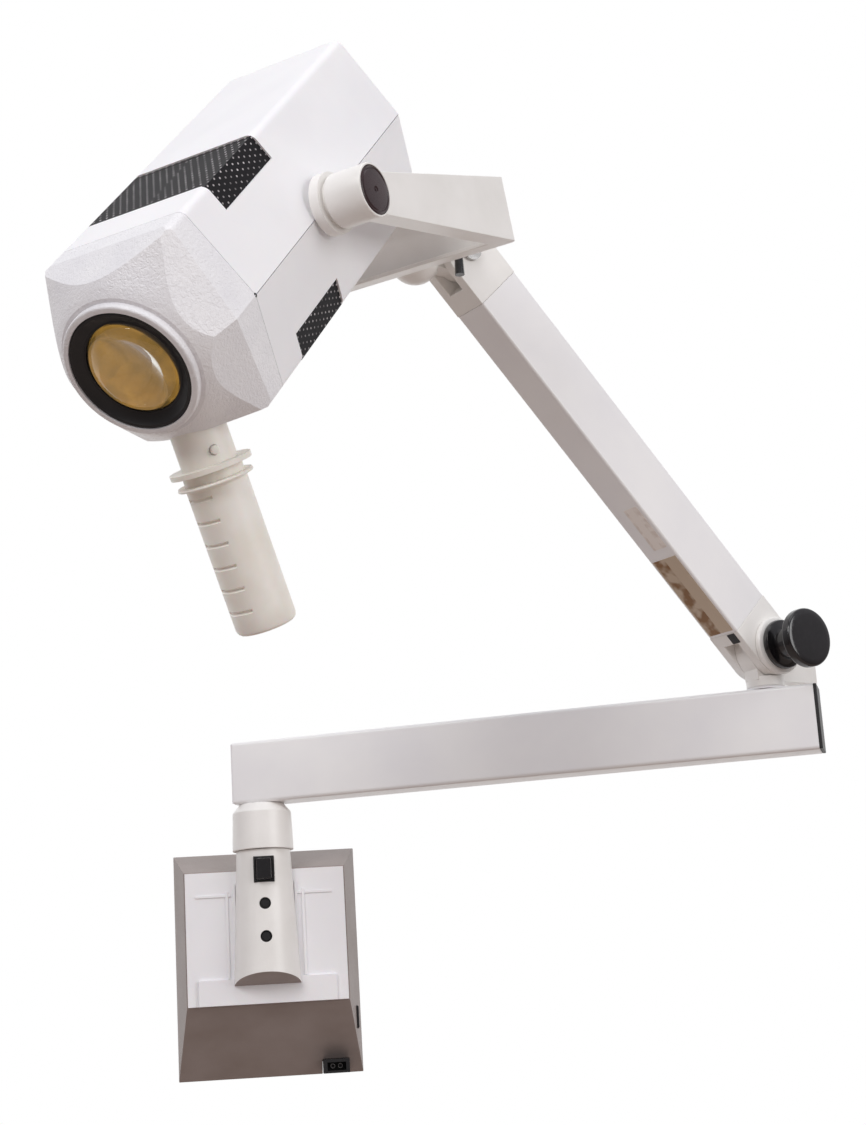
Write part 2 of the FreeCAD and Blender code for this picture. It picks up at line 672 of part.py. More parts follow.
def pivotBarrel(side):
    inside = "headWide / 2 + ridgeOut + 9.8"
    return turned("pivot_barrel_" + sideName(side), pivotFrame(side), [
        ("shaftR + runFit", inside), ("barrelR", inside), ("barrelR", "barrelOut"),
        ("capR", "barrelOut"), ("capR", "barrelOut - 3"), ("12", "barrelOut - 3"),
        ("12", "barrelOut - 12"), ("shaftR + runFit", "barrelOut - 12")])


def pivotCap(side):
    return turned("pivot_cap_" + sideName(side), pivotFrame(side), [
        ("0", "barrelOut - 3"), ("capR", "barrelOut - 3"), ("capR", "barrelOut"),
        ("capR - 1.2", "barrelOut + 0.8"), ("2", "barrelOut + 0.8"), ("1.4", "barrelOut + 0.2"),
        ("0", "barrelOut + 0.2")])


# --- lamp head ------------------------------------------------------------

# Corners of the head section, right hand side from the top round to the bottom.
def headCorners(inset):
    wide, tall = worth("headWide / 2") - inset, worth("headTall / 2") - inset
    ridge = worth("headWide / 2 + ridgeOut") - inset
    return [(-wide, tall), (wide, tall), (ridge, 0), (wide, -tall), (-wide, -tall), (-ridge, 0)]


def headWire(inset, reach):
    corners = [vec(reach, across, up) for across, up in headCorners(inset)]
    return Part.makePolygon(corners + corners[:1])


def headBlock(inset, start, finish):
    return Part.Face(headWire(inset, start)).extrude(vec(finish - start, 0, 0))


def ventBlock(inset, depth):
    front, rear = worth("headFront - ventFront"), worth("headFront - ventRear")
    tall = worth("headTall / 2")
    whole = headBlock(inset, rear, front).cut(headBlock(inset + depth, rear - 1, front + 1))
    lid = Part.makeBox(front - rear, 300, size("ventDrop"),
                       vec(rear, -150, tall - size("ventDrop")))
    return whole.common(lid)


def flip(shape):
    return shape.mirror(vec(0, 0, 0), zAxis)


# The top and bottom edges that run the whole length of a head block.
def longEdges(solid, length):
    return [edge for edge in solid.Edges if abs(edge.BoundBox.XLength - length) < 0.1
            and abs(edge.BoundBox.Center.z) > 10]


def shellHalf():
    rear, front = -size("headRear"), size("headFront")
    wall = size("shellWall")
    whole = headBlock(0, rear, front)
    edges = longEdges(whole, front - rear)
    edges += [edge for edge in whole.Edges if abs(edge.BoundBox.Center.x - rear) < 0.1]
    whole = whole.makeFillet(size("headCorner"), edges)
    whole = whole.cut(headBlock(wall, rear + wall, front + 1))
    whole = whole.cut(ventBlock(0, 8))
    upper = whole.common(Part.makeBox(400, 300, 100, vec(-200, -150, 0.25)))
    hole = Part.makeCylinder(size("shaftR"), 300, vec(0, -150, 0), yAxis)
    return upper.cut(hole)


def headShells():
    shell = shellHalf()
    plain("head_shell_upper", headFrame, shell)
    plain("head_shell_lower", headFrame, flip(shell))


def grilles():
    band = ventBlock(1.0, size("ventThick"))
    tall = worth("headTall / 2")
    slots = []
    for row in range(7):
        reach = worth("headFront - ventRear") + 7 + row * 8.6
        slots.append(Part.makeBox(3.5, 74, 20, vec(reach, -37, tall - 8)))
    band = band.cut(slots)
    plain("upper_grille", headFrame, band)
    plain("lower_grille", headFrame, flip(band))


def pivotShaft(side):
    frame = headFrame * turn(xAxis, -90 if side > 0 else 90)
    face = "headWide / 2 + ridgeOut"
    return turned("pivot_shaft_" + sideName(side), frame, [
        ("0", "headWide / 2 + 4"), ("shaftR", "headWide / 2 + 4"), ("shaftR", face + " + 1"),
        ("flangeR", face + " + 1"), ("flangeR", face + " + 7.5"), ("barrelR - 2.5", face + " + 7.5"),
        ("barrelR - 2.5", face + " + 9.5"), ("shaftR", face + " + 9.5"),
        ("shaftR", "barrelOut - 12"), ("0", "barrelOut - 12")])


# Slanted facets of the cowl, each one a spot on it and its outward direction.
def cowlFacets():
    front, half, tall = size("headFront"), worth("headWide / 2"), worth("headTall / 2")
    low, high = front + size("foldCorner"), front + size("foldRidge")
    slope = math.radians(size("facetSlope"))
    corner, ridge = vec(low, half, tall), vec(high, worth("headWide / 2 + ridgeOut"), 0)
    tip = vec(front + size("tipReach"), size("tipOut"), 0)
    side = (tip - ridge).cross(corner - ridge).normalize()
    facets = []
    for up in (1, -1):
        facets.append((vec(low, 0, up * tall), vec(math.sin(slope), 0, up * math.cos(slope))))
        for across in (1, -1):
            facets.append((vec(ridge.x, across * ridge.y, 0),
                           vec(abs(side.x), across * abs(side.y), up * abs(side.z))))
    return facets


# The cowl's outside, shrunk by a wall for its inside: a section block cut by the facets and
# by a flared turned surface that runs in to the round rim.
def cowlSolid(wall, start):
    front = size("headFront")
    nose = worth("headFront + cowlDeep - rimDeep") - wall / 2
    solid = headBlock(wall, start, nose)
    solid = solid.makeFillet(size("headCorner"), longEdges(solid, nose - start))
    cutters = []
    for spot, normal in cowlFacets():
        slab = Part.makeBox(300, 300, 100, vec(-150, -150, 0))
        slab.Placement = FreeCAD.Placement(spot - normal * wall, FreeCAD.Rotation(zAxis, normal))
        cutters.append(slab)
    spots = [(-20, 118), (18.7, 78.2), (34.6, 61.3), (44.7, 51.4), (49.5, 46.4), (52.5, 42.6), (60, 36)]
    flare = Part.BSplineCurve()
    flare.interpolate([vec(front + reach, radius - wall * 1.35, 0) for reach, radius in spots])
    low, high = vec(front - 20, 0, 0), vec(front + 60, 0, 0)
    outline = Part.Wire([Part.makeLine(low, flare.StartPoint), flare.toShape(),
                         Part.makeLine(flare.EndPoint, high), Part.makeLine(high, low)])
    flared = Part.Face(outline).revolve(vec(0, 0, 0), xAxis, 360)
    return solid.cut(cutters).common(flared)


def frontCowl():
    nose = worth("headFront + cowlDeep - rimDeep")
    rim = Part.makeCylinder(size("rimR"), size("rimDeep") + 4, vec(nose - 4, 0, 0), xAxis)
    rim = rim.makeFillet(1.6, [edge for edge in rim.Edges
                               if abs(edge.BoundBox.Center.x - nose - size("rimDeep")) < 0.01
                               and edge.BoundBox.XLength < 0.01])
    outer = cowlSolid(0, size("headFront") + 0.3).fuse(rim)
    inner = cowlSolid(size("cowlWall"), size("headFront") - 1)
    mouth = Part.makeCylinder(size("bezelR"), 40, vec(nose - 10, 0, 0), xAxis)
    return plain("front_cowl", headFrame, outer.cut([inner, mouth]).removeSplitter())


def lensBezel():
    frame = headFrame * shift("headFront + cowlDeep - rimDeep", 0, 0) * zToX
    return turned("lens_bezel", frame, [
        ("bezelInR", "-2"), ("lensR", "-2"), ("lensR", "-9.5"), ("bezelR - 3", "-9.5"),
        ("bezelR - 3", "-4"), ("bezelR", "-4"), ("bezelR", "rimDeep - 1"),
        ("bezelR - 2", "rimDeep - 0.4"), ("bezelInR + 3", "0.8"), ("bezelInR", "0")])


def lensNode():
    body = doc.addObject("PartDesign::Body", "Turned")
    sketch = body.newObject("Sketcher::SketchObject", "Outline")
    sketch.AttachmentSupport = [(originPlane(body, "XZ_Plane"), "")]
    sketch.MapMode = "FlatFace"
    steps = 8
    edge, dome = "lensR - 2.4", "lensDome"
    loop = [("0", "-9"), ("lensR - 0.2", "-9"), ("lensR - 0.2", "-2.2"), (edge, "-2.2")]
    for step in range(1, steps):
        share = step / steps
        loop.append(("(%s) * %.6f" % (edge, math.cos(share * math.pi / 2)),
                     "-2.2 + %s * %.6f" % (dome, math.sin(share * math.pi / 2))))
    loop.append(("0", "-2.2 + " + dome))
    drawLoop(sketch, loop)
    spin = body.newObject("PartDesign::Revolution", "Spin")
    spin.Profile = sketch
    spin.ReferenceAxis = (sketch, ["V_Axis"])
    spin.Angle = 360
    return keep(body, "lens", headFrame * shift("headFront + cowlDeep - rimDeep", 0, 0) * zToX)


def reflector():
    frame = headFrame * shift("headFront + cowlDeep - rimDeep - 12", 0, 0) * zToX
    return turned("reflector", frame, [
        ("reflectR", "0"), ("reflectR", "-2"), ("reflectR - 3", "-12"), ("reflectR - 11", "-26"),
        ("9", "-reflectDeep"), ("9", "-reflectDeep - 4"), ("7.6", "-reflectDeep - 4"),
        ("7.6", "-reflectDeep + 1"), ("reflectR - 12.6", "-25"), ("reflectR - 4.6", "-11"),
        ("reflectR - 2", "0")])


def bulb():
    frame = headFrame * shift("headFront + cowlDeep - rimDeep - 12 - reflectDeep", 0, 0) * zToX
    return turned("bulb", frame, [
        ("0", "-9"), ("4.5", "-9"), ("4.5", "4"), ("5.6", "8"), ("5.6", "18"), ("3", "22"),
        ("0", "22.5")])


def bulbSocket():
    frame = headFrame * shift("headFront + cowlDeep - rimDeep - 12 - reflectDeep", 0, 0) * zToX
    return turned("bulb_socket", frame, [
        ("0", "-26"), ("11", "-26"), ("11", "-4.2"), ("4.7", "-4.2"), ("4.7", "-9.2"),
        ("0", "-9.2")])


def heatFilter():
    frame = headFrame * shift("headFront + cowlDeep - rimDeep - 11.5", 0, 0) * zToX
    return turned("heat_filter", frame, [("0", "0"), ("reflectR", "0"), ("reflectR", "2"),
                                         ("0", "2")])


def lampCarrier():
    reach = "headFront + cowlDeep - rimDeep - reflectDeep - 12 - 26"
    plate = block((reach + " - 3", "-headWide / 2 + 6", "-headTall / 2 + 14"), "3",
                  "headWide - 12", "headTall - 28")
    arm = block(("80", "-20", "-6"), "headFront + cowlDeep - rimDeep - reflectDeep - 121", "40", "3")
    return keep(merged([plate, arm]), "lamp_carrier", headFrame)


# --- handle ---------------------------------------------------------------

# The stem's top is cut to the cowl's underside.
def handleStem():
    blank = turned("stem_blank", latchFrame, [
        ("0", "-14"), ("stemR", "-14"), ("stemR", "stemLong - 10"),
        ("gripFlangeR + 1.6", "stemLong - 10"), ("gripFlangeR + 1.6", "stemLong - 7"),
        ("9", "stemLong - 7"), ("9", "stemLong + 40"), ("0", "stemLong + 40")])
    pocket(blank, "YZ_Plane", [("circle", "0", "12", "3.1")], "12", "-stemR + 4.5")
    doc.recompute()
    nodes.remove(blank)
    cowl = cowlSolid(0, size("headFront") - 40)
    cowl.Placement = headFrame
    return plain("handle_stem", ground, blank.Shape.cut(cowl))


def handleButton():
    frame = latchFrame * shift("-stemR + 2", 0, 12) * turn(yAxis, -90)
    return turned("handle_button", frame, [("0", "0"), ("2.8", "0"), ("2.8", "3.2"),
                                           ("2", "4"), ("0", "4.2")])


def handleGrip():
    start = "stemLong - 6.7"
    body = turned("handle_grip", handleFrame, [
        ("9.1", start), ("gripR - 0.4", start), ("gripR - 0.4", start + " + 5.7"),
        ("gripFlangeR", start + " + 5.7"), ("gripFlangeR", start + " + 8.1"),
        ("gripR", start + " + 8.7"), ("gripR", "stemLong + gripLong - 3"), ("gripR - 2", "stemLong + gripLong"),
        ("0", "stemLong + gripLong"), ("0", "stemLong + 42"), ("9.1", "stemLong + 42")])
    return body


def everything():
    wallPlate()
    bracketHousing()
    bracketCover()
    socketColumn()
    switchFrame()
    rockerSwitch()
    fuseHolders()
    fuseCap("fuse_cap_upper", "43", "22.7")
    fuseCap("fuse_cap_lower", "17.3", "23.8")
    cordInlet()
    sideGrommet()
    transformer()
    swingBush()
    swingSpindle()
    swingCollar()
    extensionTube()
    innerEndCap()
    outerEndCap()
    elbowBush()
    elbowSpindle()
    elbowPost()
    elbowPin()
    boomTube()
    boomEnd("boom_lower_end", boomFrame, "postRound")
    boomEnd("boom_upper_end", boomFrame * shift("boomLength", 0, 0) * turn(yAxis, 180), "16")
    balanceSpring()
    springRod()
    labels()
    knobWasher()
    tensionKnob()
    knuckleHub()
    knucklePin()
    swivelStud()
    clampLever()
    yokeFrameNode()
    yokeBoss()
    swivelBush()
    for side in (1, -1):
        pivotBarrel(side)
        pivotCap(side)
        pivotShaft(side)
    headShells()
    grilles()
    frontCowl()
    lensBezel()
    lensNode()
    reflector()
    bulb()
    bulbSocket()
    heatFilter()
    lampCarrier()
    handleStem()
    handleButton()
    handleGrip()


everything()
doc.recompute()

for node in nodes:
    problems = [word for word in node.State if word in ("Invalid", "Error")]
    shape = node.Shape
    if problems or shape.isNull() or not shape.isValid():
        raise RuntimeError("%s is not sound: %s" % (node.Label, node.State))
    print(node.Label, "solids", len(shape.Solids), "volume", round(shape.Volume))

for node in nodes:
    node.Shape.exportStep("parts/%s.step" % node.Label)
print("nodes", len(nodes))
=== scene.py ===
import json
import math
import bmesh
import bpy
from mathutils import Matrix, Vector


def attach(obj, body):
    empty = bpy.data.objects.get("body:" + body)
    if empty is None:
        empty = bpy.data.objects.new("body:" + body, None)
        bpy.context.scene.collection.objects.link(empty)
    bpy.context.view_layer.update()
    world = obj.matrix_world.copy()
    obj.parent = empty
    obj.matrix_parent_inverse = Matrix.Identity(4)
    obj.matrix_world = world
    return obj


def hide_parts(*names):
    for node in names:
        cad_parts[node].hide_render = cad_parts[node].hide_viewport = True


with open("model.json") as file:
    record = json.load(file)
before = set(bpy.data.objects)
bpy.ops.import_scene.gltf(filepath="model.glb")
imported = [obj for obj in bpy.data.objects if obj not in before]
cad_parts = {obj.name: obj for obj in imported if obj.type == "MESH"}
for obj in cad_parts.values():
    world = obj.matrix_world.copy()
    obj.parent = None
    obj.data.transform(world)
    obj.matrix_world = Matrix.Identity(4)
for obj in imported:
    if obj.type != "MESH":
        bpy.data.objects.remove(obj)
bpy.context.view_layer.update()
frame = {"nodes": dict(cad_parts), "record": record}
nodes = frame["nodes"]
scene = bpy.context.scene
mm = 0.001
print("frame loaded:", len(nodes), "nodes")

# Angles of the joints as drawn, in degrees, and the reaches between them, in millimetres.
pose = {
    "armSwing": 20.3, "boomTurn": 210.0, "boomRise": 45.6, "yokeTurn": 232.66,
    "yokeLean": 16.0, "headDip": 47.4, "handleLean": 18.5,
    "columnReach": 65.0, "armHeight": 148.7, "elbowReach": 411.9, "elbowRise": 56.8,
    "boomLength": 380.4, "hubReach": 38.0, "yokeLeg": 204.0, "yokeMid": 1.2,
}


def spun(axis, degrees):
    return Matrix.Rotation(math.radians(degrees), 4, axis)


def moved(x, y, z):
    return Matrix.Translation(Vector((x, y, z)) * mm)


def placed(matrix, turnDegrees):
    return Matrix.Translation(matrix.translation) @ spun("Z", turnDegrees)


armPlace = moved(0, -pose["columnReach"], pose["armHeight"]) @ spun("Z", -pose["armSwing"])
elbowPlace = placed(armPlace @ moved(pose["elbowReach"], 0, 0), pose["boomTurn"])
postPlace = elbowPlace @ moved(0, 0, pose["elbowRise"])
boomPlace = postPlace @ spun("Y", -pose["boomRise"])
knucklePlace = placed(boomPlace @ moved(pose["boomLength"], 0, 0), pose["boomTurn"])
hubPlace = knucklePlace @ moved(pose["hubReach"], 0, 0)
yokePlace = placed(hubPlace, pose["yokeTurn"]) @ spun("Y", pose["yokeLean"])
headPlace = (placed(yokePlace @ moved(pose["yokeLeg"], 0, pose["yokeMid"]), pose["yokeTurn"])
             @ spun("Y", pose["headDip"]))
handlePlace = (headPlace @ moved(139.6, 0, -56.8) @ spun("Y", 180 - pose["handleLean"]))
zToX = spun("Y", 90)


def linear(code):
    parts = [int(code[at:at + 2], 16) / 255 for at in (1, 3, 5)]
    return tuple(part / 12.92 if part <= 0.04045 else ((part + 0.055) / 1.055) ** 2.4
                 for part in parts) + (1.0,)


# Adds a node: its own properties, the values of its sockets, and what is linked into them.
def add(tree, kind, props=None, values=None, links=None):
    node = tree.nodes.new(kind)
    for name, value in (props or {}).items():
        setattr(node, name, value)
    for socket, value in (values or {}).items():
        node.inputs[socket].default_value = value
    for socket, source in (links or {}).items():
        tree.links.new(source, node.inputs[socket])
    return node


def newMaterial(name):
    material = bpy.data.materials.new(name)
    material.use_nodes = True
    tree = material.node_tree
    tree.nodes.clear()
    return material, tree


def closed(material, tree, shader):
    add(tree, "ShaderNodeOutputMaterial", links={"Surface": shader.outputs[0]})
    return material


# A surface with two patterns on object coordinates: broad drifts of tone and a fine relief.
# The relief's size is in millimetres, and its depth is what the light picks up.
def finishedSurface(name, facts, place=None):
    material, tree = newMaterial(name)
    spot = add(tree, "ShaderNodeTexCoord").outputs["Object"]
    if place is not None:
        turned = place.inverted()
        spot = add(tree, "ShaderNodeMapping", {"vector_type": "POINT"},
                   {"Location": turned.translation, "Rotation": turned.to_euler()},
                   {"Vector": spot}).outputs["Vector"]
    if "stretch" in facts:
        spot = add(tree, "ShaderNodeMapping", {}, {"Scale": facts["stretch"]},
                   {"Vector": spot}).outputs["Vector"]
    drift = add(tree, "ShaderNodeTexNoise", {},
                {"Scale": 1 / (facts["drift"] * mm), "Detail": 3.0, "Roughness": 0.55},
                {"Vector": spot})
    relief = add(tree, "ShaderNodeTexNoise", {},
                 {"Scale": 1 / (facts["grain"] * mm), "Detail": facts.get("detail", 2.0),
                  "Roughness": 0.6, "Distortion": facts.get("curl", 0.0)},
                 {"Vector": spot})
    tone = add(tree, "ShaderNodeMix", {"data_type": "RGBA"},
               {6: linear(facts["pale"]), 7: linear(facts["deep"])},
               {0: add(tree, "ShaderNodeMapRange", {},
                       {"From Min": 0.35, "From Max": 0.7, "To Max": facts.get("mottle", 1.0)},
                       {"Value": drift.outputs["Fac"]}).outputs["Result"]})
    gloss = add(tree, "ShaderNodeMapRange", {},
                {"From Min": 0.3, "From Max": 0.7, "To Min": facts["shine"][0],
                 "To Max": facts["shine"][1]}, {"Value": relief.outputs["Fac"]})
    bump = add(tree, "ShaderNodeBump", {},
               {"Strength": facts["bite"], "Distance": facts["depth"] * mm},
               {"Height": relief.outputs["Fac"]})
    shader = add(tree, "ShaderNodeBsdfPrincipled", {}, facts.get("shader"),
                 {"Base Color": tone.outputs[2], "Roughness": gloss.outputs["Result"],
                  "Normal": bump.outputs["Normal"]})
    return closed(material, tree, shader)


# Stoved white enamel sprayed on steel tube: an even satin skin with a faint orange peel.
sprayedEnamel = finishedSurface("sprayedEnamel", {
    "pale": "#faf9f9", "deep": "#f4f3f5", "drift": 70, "grain": 2.2, "bite": 0.10, "depth": 0.12,
    "shine": (0.30, 0.40), "shader": {"Coat Weight": 0.25, "Coat Roughness": 0.18}})

# White enamel on aluminium castings: the sand texture shows as soft pits in the highlights.
castEnamel = finishedSurface("castEnamel", {
    "pale": "#f8f6f3", "deep": "#f0eeea", "drift": 45, "grain": 1.6, "detail": 3.0,
    "bite": 0.30, "depth": 0.25, "shine": (0.30, 0.46),
    "shader": {"Coat Weight": 0.2, "Coat Roughness": 0.25}})

# Taupe stoved enamel on the folded bracket box: a fine hammered skin, rather dull.
taupeEnamel = finishedSurface("taupeEnamel", {
    "pale": "#9d918d", "deep": "#91847e", "drift": 50, "grain": 1.4, "detail": 3.0,
    "bite": 0.25, "depth": 0.15, "shine": (0.42, 0.56)})

# Moulded white ABS of the lamp head and covers: a spark eroded mould gives a matt grain.
mouldedAbs = finishedSurface("mouldedAbs", {
    "pale": "#f9f8fa", "deep": "#f3f2f5", "drift": 80, "grain": 0.9, "bite": 0.16,
    "depth": 0.10, "shine": (0.36, 0.48), "shader": {"Subsurface Weight": 0.04,
                                                     "Subsurface Scale": 0.004}})

# Wrinkle finish on the cowl: leathery pits about 1.5 mm across that catch the light.
wrinkleFinish = finishedSurface("wrinkleFinish", {
    "pale": "#f6f5f7", "deep": "#ecebef", "drift": 40, "grain": 2.1, "detail": 2.0, "curl": 0.9,
    "bite": 0.75, "depth": 0.75, "shine": (0.26, 0.46)})

# Ivory nylon of the grip and stem: waxy, a little see-through at thin edges.
ivoryNylon = finishedSurface("ivoryNylon", {
    "pale": "#fbf7f0", "deep": "#f3eee3", "drift": 30, "grain": 1.1, "bite": 0.12,
    "depth": 0.10, "shine": (0.34, 0.46), "shader": {"Subsurface Weight": 0.12,
                                                     "Subsurface Scale": 0.006}})

# Black moulded ABS with a fine matt grain: switch frame, caps, inlet, end cap.
blackAbs = finishedSurface("blackAbs", {
    "pale": "#1b1a1c", "deep": "#121113", "drift": 25, "grain": 0.7, "bite": 0.2,
    "depth": 0.08, "shine": (0.38, 0.52)})

# Polished black phenolic of the knob and lever: deep gloss, hairline wear on the crests.
blackPhenolic = finishedSurface("blackPhenolic", {
    "pale": "#141215", "deep": "#0c0b0d", "drift": 18, "grain": 3.5, "bite": 0.05,
    "depth": 0.08, "shine": (0.12, 0.24), "shader": {"Coat Weight": 0.5, "Coat Roughness": 0.1}})

# Aubergine coloured acetal of the pivot caps: turned rings dull the gloss a little.
auberginePlastic = finishedSurface("auberginePlastic", {
    "pale": "#3a2428", "deep": "#2b191d", "drift": 14, "grain": 1.0, "bite": 0.15,
    "depth": 0.10, "shine": (0.26, 0.38)})

# Bare turned steel: grey with a fine drawn grain along the parts.
turnedSteel = finishedSurface("turnedSteel", {
    "pale": "#c9c8c6", "deep": "#a9a7a4", "drift": 20, "grain": 1.2, "stretch": (1, 1, 6),
    "bite": 0.12, "depth": 0.05, "shine": (0.24, 0.38), "shader": {"Metallic": 1.0}})

# Oiled spring wire: darker, almost blue where the heat treatment shows.
springWire = finishedSurface("springWire", {
    "pale": "#8b8d93", "deep": "#5d5e66", "drift": 12, "grain": 0.8, "bite": 0.1,
    "depth": 0.04, "shine": (0.28, 0.42), "shader": {"Metallic": 1.0}})

# Sintered bronze bushes: porous and warm.
sinteredBronze = finishedSurface("sinteredBronze", {
    "pale": "#c8a570", "deep": "#97744a", "drift": 9, "grain": 0.5, "detail": 4.0, "bite": 0.4,
    "depth": 0.06, "shine": (0.34, 0.52), "shader": {"Metallic": 1.0}})

# Varnished laminations of the transformer: thin dark layers with a drip of lacquer.
varnishedIron = finishedSurface("varnishedIron", {
    "pale": "#4a3f3a", "deep": "#2a2423", "drift": 14, "grain": 1.0, "stretch": (1, 12, 1),
    "bite": 0.5, "depth": 0.15, "shine": (0.2, 0.5)})

# Steatite of the lamp socket: off-white, dry, slightly pitted.
steatite = finishedSurface("steatite", {
    "pale": "#e6e1d4", "deep": "#d6cfbe", "drift": 12, "grain": 0.6, "detail": 4.0, "bite": 0.25,
    "depth": 0.08, "shine": (0.55, 0.7)})

# Dichroic coated glass of the reflector: gold, with the streaks left by the vapour coating,
# and a faint emission that paints in the light it would reflect.
goldReflector = finishedSurface("goldReflector", {
    "pale": "#e6d6a8", "deep": "#9c8555", "drift": 9, "grain": 3.0, "bite": 0.3, "depth": 0.3,
    # The emission is painted light: the reflector glows though it is no lamp.
    "shine": (0.08, 0.22), "shader": {"Metallic": 1.0, "Emission Color": linear("#b39a66"),
                                      "Emission Strength": 0.4}})


# Clear pressed glass: a faint waviness from the mould bends the light that goes through.
def pressedGlass(name, tint, wave, roughness):
    material, tree = newMaterial(name)
    spot = add(tree, "ShaderNodeTexCoord").outputs["Object"]
    waves = add(tree, "ShaderNodeTexNoise", {}, {"Scale": 1 / (wave * mm), "Detail": 1.0},
                {"Vector": spot})
    bump = add(tree, "ShaderNodeBump", {}, {"Strength": 0.12, "Distance": 0.3 * mm},
               {"Height": waves.outputs["Fac"]})
    shader = add(tree, "ShaderNodeBsdfPrincipled", {},
                 {"Base Color": linear(tint), "Roughness": roughness, "IOR": 1.52,
                  "Transmission Weight": 1.0}, {"Normal": bump.outputs["Normal"]})
    return closed(material, tree, shader)


lensGlass = pressedGlass("lensGlass", "#fdfcf7", 9, 0.02)
filterGlass = pressedGlass("filterGlass", "#f4e6c4", 14, 0.04)
bulbGlass = pressedGlass("bulbGlass", "#f8f8f4", 5, 0.03)


# Black stoved sheet steel punched with staggered round holes. The pitch is 5.2 mm and the
# holes are 1.5 mm across; each hole is painted as a pale dot with a dark edge, painted light
# from inside the head.
def punchedSheet(name, pitch, hole):
    material, tree = newMaterial(name)
    turned = headPlace.inverted()
    spot = add(tree, "ShaderNodeMapping", {},
               {"Location": turned.translation, "Rotation": turned.to_euler()},
               {"Vector": add(tree, "ShaderNodeTexCoord").outputs["Object"]})
    parts = add(tree, "ShaderNodeSeparateXYZ", links={"Vector": spot.outputs["Vector"]})
    # Across the band the count follows the sheet round its bend: width less height.
    across = add(tree, "ShaderNodeMath", {"operation": "ABSOLUTE"},
                 links={0: parts.outputs["Y"]})
    height = add(tree, "ShaderNodeMath", {"operation": "ABSOLUTE"},
                 links={0: parts.outputs["Z"]})
    around = add(tree, "ShaderNodeMath", {"operation": "SUBTRACT"},
                 links={0: across.outputs[0], 1: height.outputs[0]})
    rows = add(tree, "ShaderNodeMath", {"operation": "DIVIDE"}, {1: pitch * mm * 0.87},
               {0: parts.outputs["X"]})
    row = add(tree, "ShaderNodeMath", {"operation": "FLOOR"}, links={0: rows.outputs[0]})
    odd = add(tree, "ShaderNodeMath", {"operation": "MULTIPLY"}, {1: 0.5},
              {0: row.outputs[0]})
    columns = add(tree, "ShaderNodeMath", {"operation": "MULTIPLY_ADD"}, {1: 1 / (pitch * mm)},
                  {0: around.outputs[0], 2: odd.outputs[0]})
    local = []
    for source in (rows, columns):
        part = add(tree, "ShaderNodeMath", {"operation": "FRACT"}, links={0: source.outputs[0]})
        middle = add(tree, "ShaderNodeMath", {"operation": "SUBTRACT"}, {1: 0.5},
                     {0: part.outputs[0]})
        local.append(add(tree, "ShaderNodeMath", {"operation": "MULTIPLY"}, {1: pitch},
                         {0: middle.outputs[0]}))
    flat = add(tree, "ShaderNodeCombineXYZ", links={"X": local[0].outputs[0],
                                                    "Y": local[1].outputs[0]})
    away = add(tree, "ShaderNodeVectorMath", {"operation": "LENGTH"},
               links={0: flat.outputs["Vector"]})
    inside = add(tree, "ShaderNodeMapRange", {"interpolation_type": "SMOOTHSTEP"},
                 {"From Min": hole / 2 + 0.25, "From Max": hole / 2 - 0.15, "To Min": 0.0,
                  "To Max": 1.0}, {"Value": away.outputs["Value"]})
    # The strength of the painted light in the holes drifts across the sheet.
    holeLightDrift = add(tree, "ShaderNodeTexNoise", {}, {"Scale": 1 / (14 * mm), "Detail": 3.0},
               {"Vector": spot.outputs["Vector"]})
    lit = add(tree, "ShaderNodeMapRange", {}, {"From Min": 0.35, "From Max": 0.6,
                                               "To Min": 0.25, "To Max": 1.0},
              {"Value": holeLightDrift.outputs["Fac"]})
    glow = add(tree, "ShaderNodeMath", {"operation": "MULTIPLY"},
               links={0: inside.outputs["Result"], 1: lit.outputs["Result"]})
    # The pale colour is painted light seen through each hole; the dark one is the sheet's own
    # black.
    tone = add(tree, "ShaderNodeMix", {"data_type": "RGBA"},
               {6: linear("#121014"), 7: linear("#d9d4d6")}, {0: glow.outputs[0]})
    bump = add(tree, "ShaderNodeBump", {"invert": True}, {"Strength": 0.8, "Distance": 0.6 * mm},
               {"Height": inside.outputs["Result"]})
    shader = add(tree, "ShaderNodeBsdfPrincipled", {},
                 {"Roughness": 0.55, "Specular IOR Level": 0.2},
                 {"Base Color": tone.outputs[2], "Normal": bump.outputs["Normal"]})
    return closed(material, tree, shader)


punchedSteel = punchedSheet("punchedSteel", 5.2, 1.5)


# Blank film labels: one pale, and one ochre whose print has faded to brown patches. The
# length and width are the label's own, in millimetres, and so is its place.
def filmLabel(name, place, length, width, paper, ink, rows):
    material, tree = newMaterial(name)
    turned = place.inverted()
    spot = add(tree, "ShaderNodeMapping", {},
               {"Location": turned.translation, "Rotation": turned.to_euler()},
               {"Vector": add(tree, "ShaderNodeTexCoord").outputs["Object"]})
    parts = add(tree, "ShaderNodeSeparateXYZ", links={"Vector": spot.outputs["Vector"]})
    bands = add(tree, "ShaderNodeMath", {"operation": "MULTIPLY"}, {1: rows / (width * mm)},
                {0: parts.outputs["Y"]})
    band = add(tree, "ShaderNodeMath", {"operation": "FRACT"}, links={0: bands.outputs[0]})
    printed = add(tree, "ShaderNodeMath", {"operation": "GREATER_THAN"}, {1: 0.55},
                  {0: band.outputs[0]})
    patches = add(tree, "ShaderNodeTexNoise", {}, {"Scale": 1 / (length * 0.16 * mm),
                                                   "Detail": 2.0},
                  {"Vector": spot.outputs["Vector"]})
    kept = add(tree, "ShaderNodeMapRange", {}, {"From Min": 0.42, "From Max": 0.6},
               {"Value": patches.outputs["Fac"]})
    amount = add(tree, "ShaderNodeMath", {"operation": "MULTIPLY"},
                 links={0: printed.outputs[0], 1: kept.outputs["Result"]})
    tone = add(tree, "ShaderNodeMix", {"data_type": "RGBA"},
               {6: linear(paper), 7: linear(ink)}, {0: amount.outputs[0]})
    shader = add(tree, "ShaderNodeBsdfPrincipled", {}, {"Roughness": 0.35},
                 {"Base Color": tone.outputs[2]})
    return closed(material, tree, shader)


